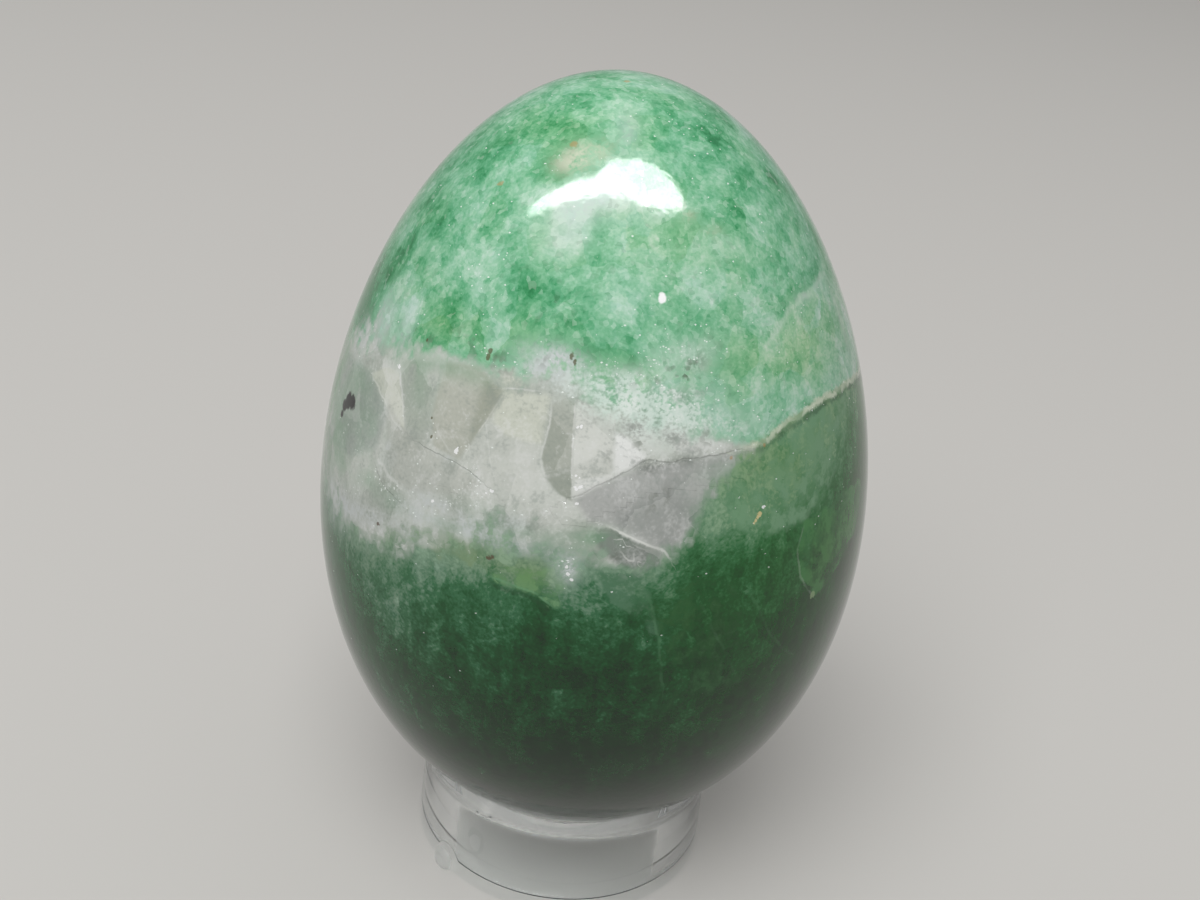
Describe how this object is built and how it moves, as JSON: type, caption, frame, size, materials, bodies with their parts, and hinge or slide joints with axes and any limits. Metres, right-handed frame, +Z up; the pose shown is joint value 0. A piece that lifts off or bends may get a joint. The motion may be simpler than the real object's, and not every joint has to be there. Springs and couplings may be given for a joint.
{
  "type": "stone egg on stand",
  "caption": "Polished green and white quartz egg standing blunt end down in the bevelled seat of a clear acrylic ring stand.",
  "frame": {"origin": "on the table, at the centre of the ring's foot", "axes": "+Z up, from the foot to the egg's pointed tip; the egg's tip leans towards -X; the picture looks along +Y"},
  "size_m": [0.0442, 0.0442, 0.0679],
  "materials": {
    "polished_green_quartz": "polished",
    "clear_acrylic": "gloss"
  },
  "bodies": {
    "stand": {"ring_stand": "clear_acrylic"},
    "egg": {"stone_egg": "polished_green_quartz"}
  },
  "joints": [
    {"name": "egg_lift", "type": "slide", "parent": "stand", "child": "egg", "axis": [0, 0, 1], "range_m": [0, 0.03]}
  ]
}
